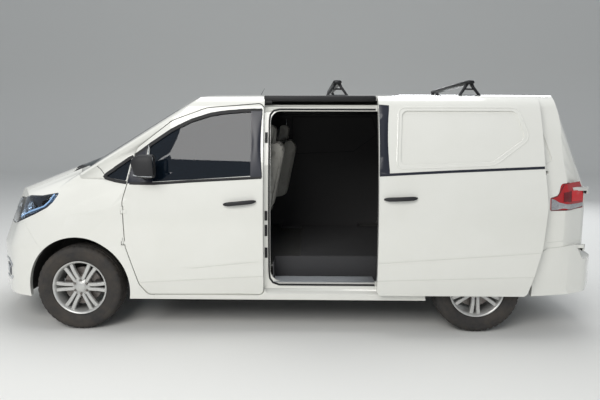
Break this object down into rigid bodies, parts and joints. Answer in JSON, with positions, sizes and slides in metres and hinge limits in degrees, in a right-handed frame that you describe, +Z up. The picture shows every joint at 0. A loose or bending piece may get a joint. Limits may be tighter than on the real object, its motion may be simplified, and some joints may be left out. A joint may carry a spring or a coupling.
{
  "type": "panel van",
  "caption": "Panel van, sliding side door open, with hinged cab doors, bonnet and tail doors, steered front wheels and roof bars.",
  "frame": {"origin": "on the ground under the middle of the van's overall box", "axes": "+X to the nose, +Y to the van's left, +Z up"},
  "size_m": [5.1679, 2.22, 2.025],
  "materials": {
    "paint": "gloss",
    "glass": "gloss",
    "black_plastic": "matte",
    "grey_plastic": "matte",
    "lamp_clear": "gloss",
    "lamp_red": "gloss",
    "tyre": "matte",
    "alloy": "satin",
    "iron": "matte",
    "steel": "satin",
    "fabric": "matte"
  },
  "bodies": {
    "body": {"bumper_front": "paint", "bumper_rear": "paint", "cowl": "black_plastic", "dashboard": "grey_plastic", "engine": "iron", "exhaust": "steel", "firewall": "paint", "floor": "paint", "front_frame": "iron", "fuel_tank": "grey_plastic", "grille": "black_plastic", "headlamps": "lamp_clear", "liners_front": "black_plastic", "liners_rear": "black_plastic", "propshaft": "steel", "quarter_glass": "glass", "radiator": "alloy", "rear_axle": "iron", "roof": "paint", "roof_bars": "alloy", "seat_driver": "fabric", "seat_passenger": "fabric", "side_left": "paint", "side_right": "paint", "sliding_door_left": "paint", "sliding_door_right": "paint", "sliding_gear": "steel", "sliding_handles": "paint", "spare_wheel": "tyre", "steering_wheel": "black_plastic", "step_wells": "grey_plastic", "tail_lamps": "lamp_red", "windscreen": "glass", "wing_left": "paint", "wing_right": "paint"},
    "door_left": {"door_left": "paint", "door_glass_left": "glass", "mirror_left": "black_plastic", "door_handle_left": "paint"},
    "barn_left": {"barn_left": "paint", "barn_glass_left": "glass"},
    "knuckle_left": {"knuckle_left": "iron"},
    "wheel_front_left": {"tyre_front_left": "tyre", "rim_front_left": "alloy"},
    "wheel_rear_left": {"tyre_rear_left": "tyre", "rim_rear_left": "alloy"},
    "door_right": {"door_right": "paint", "door_glass_right": "glass", "mirror_right": "black_plastic", "door_handle_right": "paint"},
    "barn_right": {"barn_right": "paint", "barn_glass_right": "glass"},
    "knuckle_right": {"knuckle_right": "iron"},
    "wheel_front_right": {"tyre_front_right": "tyre", "rim_front_right": "alloy"},
    "wheel_rear_right": {"tyre_rear_right": "tyre", "rim_rear_right": "alloy"},
    "bonnet": {"bonnet": "paint"}
  },
  "joints": [
    {"name": "door_left_hinge", "type": "hinge", "parent": "body", "child": "door_left", "pos_m": [1.243, 0.986, 0.88], "axis": [0, 0, -1], "range_deg": [0, 65]},
    {"name": "barn_left_hinge", "type": "hinge", "parent": "body", "child": "barn_left", "pos_m": [-2.418, 0.888, 0.93], "axis": [0, 0, -1], "range_deg": [0, 180]},
    {"name": "steer_left", "type": "hinge", "parent": "body", "child": "knuckle_left", "pos_m": [1.624, 0.78, 0.345], "axis": [0, 0, 1], "range_deg": [-35, 35]},
    {"name": "wheel_front_left_spin", "type": "hinge", "parent": "knuckle_left", "child": "wheel_front_left", "pos_m": [1.624, 0.851, 0.345], "axis": [0, 1, 0], "continuous": true},
    {"name": "wheel_rear_left_spin", "type": "hinge", "parent": "body", "child": "wheel_rear_left", "pos_m": [-1.574, 0.851, 0.345], "axis": [0, 1, 0], "continuous": true},
    {"name": "door_right_hinge", "type": "hinge", "parent": "body", "child": "door_right", "pos_m": [1.243, -0.986, 0.88], "axis": [0, 0, 1], "range_deg": [0, 65]},
    {"name": "barn_right_hinge", "type": "hinge", "parent": "body", "child": "barn_right", "pos_m": [-2.418, -0.888, 0.93], "axis": [0, 0, 1], "range_deg": [0, 180]},
    {"name": "steer_right", "type": "hinge", "parent": "body", "child": "knuckle_right", "pos_m": [1.624, -0.78, 0.345], "axis": [0, 0, 1], "range_deg": [-35, 35]},
    {"name": "wheel_front_right_spin", "type": "hinge", "parent": "knuckle_right", "child": "wheel_front_right", "pos_m": [1.624, -0.851, 0.345], "axis": [0, 1, 0], "continuous": true},
    {"name": "wheel_rear_right_spin", "type": "hinge", "parent": "body", "child": "wheel_rear_right", "pos_m": [-1.574, -0.851, 0.345], "axis": [0, 1, 0], "continuous": true},
    {"name": "bonnet_hinge", "type": "hinge", "parent": "body", "child": "bonnet", "pos_m": [1.714, 0, 1.29], "axis": [0, -1, 0], "range_deg": [0, 50]}
  ],
  "couplings": [
    {"joint": "steer_right", "follows": "steer_left", "ratio": 1}
  ]
}
